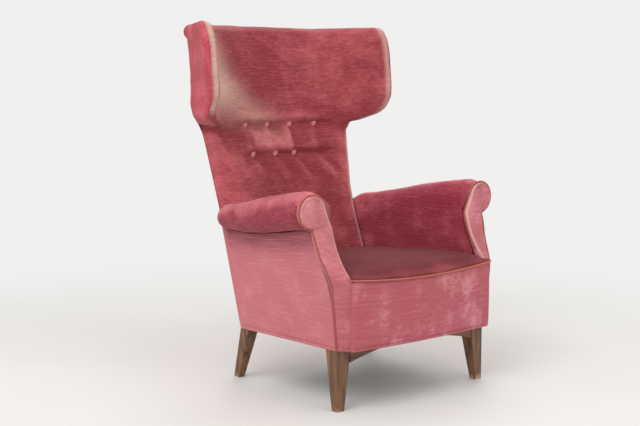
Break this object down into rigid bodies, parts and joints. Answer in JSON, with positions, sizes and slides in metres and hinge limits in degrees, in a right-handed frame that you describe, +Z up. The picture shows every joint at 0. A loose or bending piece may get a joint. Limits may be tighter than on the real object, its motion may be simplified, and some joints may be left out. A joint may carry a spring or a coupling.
{
  "type": "wingback armchair",
  "caption": "High-backed upholstered armchair with flared wings, scrolled arms, a sprung seat, a button-tufted back and tapered wooden legs.",
  "frame": {"origin": "on the floor, under the middle of the chair's outer box", "axes": "+Z up, the chair's front faces -Y, +X to the right of someone looking at its front"},
  "size_m": [0.775, 0.8759, 1.092],
  "materials": {
    "velvet": "slubbed cut-pile velvet",
    "gimp_cord": "twisted cord",
    "stained_beech": "brown stain, satin lacquer, worn at the edges",
    "raw_beech": "planed, unfinished",
    "jute_webbing": "woven jute",
    "hessian": "open weave",
    "twine": "waxed twine",
    "lining_cloth": "plain cotton",
    "spring_wire": "coppered wire",
    "steel_screw": "bright",
    "blued_tack": "blued"
  },
  "bodies": {
    "root": {"arm_facing_left": "velvet", "arm_facing_right": "velvet", "arm_pad_left": "velvet", "arm_pad_right": "velvet", "arm_post_left": "raw_beech", "arm_post_right": "raw_beech", "arm_rail_left": "raw_beech", "arm_rail_right": "raw_beech", "back_buttons": "velvet", "back_pad": "velvet", "back_post_left": "raw_beech", "back_post_right": "raw_beech", "back_rail_low": "raw_beech", "back_rail_top": "raw_beech", "back_rail_waist": "raw_beech", "back_webbing": "jute_webbing", "button_ties": "twine", "corner_block_screws": "steel_screw", "corner_blocks": "raw_beech", "dust_cover": "lining_cloth", "dust_cover_tacks": "blued_tack", "facing_cord_left": "gimp_cord", "facing_cord_right": "gimp_cord", "leg_front_left": "stained_beech", "leg_front_right": "stained_beech", "leg_rear_left": "stained_beech", "leg_rear_right": "stained_beech", "outer_back": "velvet", "rail_front": "stained_beech", "rail_rear": "raw_beech", "rail_side_left": "raw_beech", "rail_side_right": "raw_beech", "seat_border": "velvet", "seat_cord": "gimp_cord", "seat_pad": "velvet", "seat_springs": "spring_wire", "seat_webbing": "jute_webbing", "side_cover_left": "velvet", "side_cover_right": "velvet", "spring_deck": "hessian", "tenon_pegs": "raw_beech", "top_roll": "velvet", "wing_frame_left": "raw_beech", "wing_frame_right": "raw_beech", "wing_outer_left": "velvet", "wing_outer_right": "velvet", "wing_pad_left": "velvet", "wing_pad_right": "velvet"}
  },
  "joints": []
}
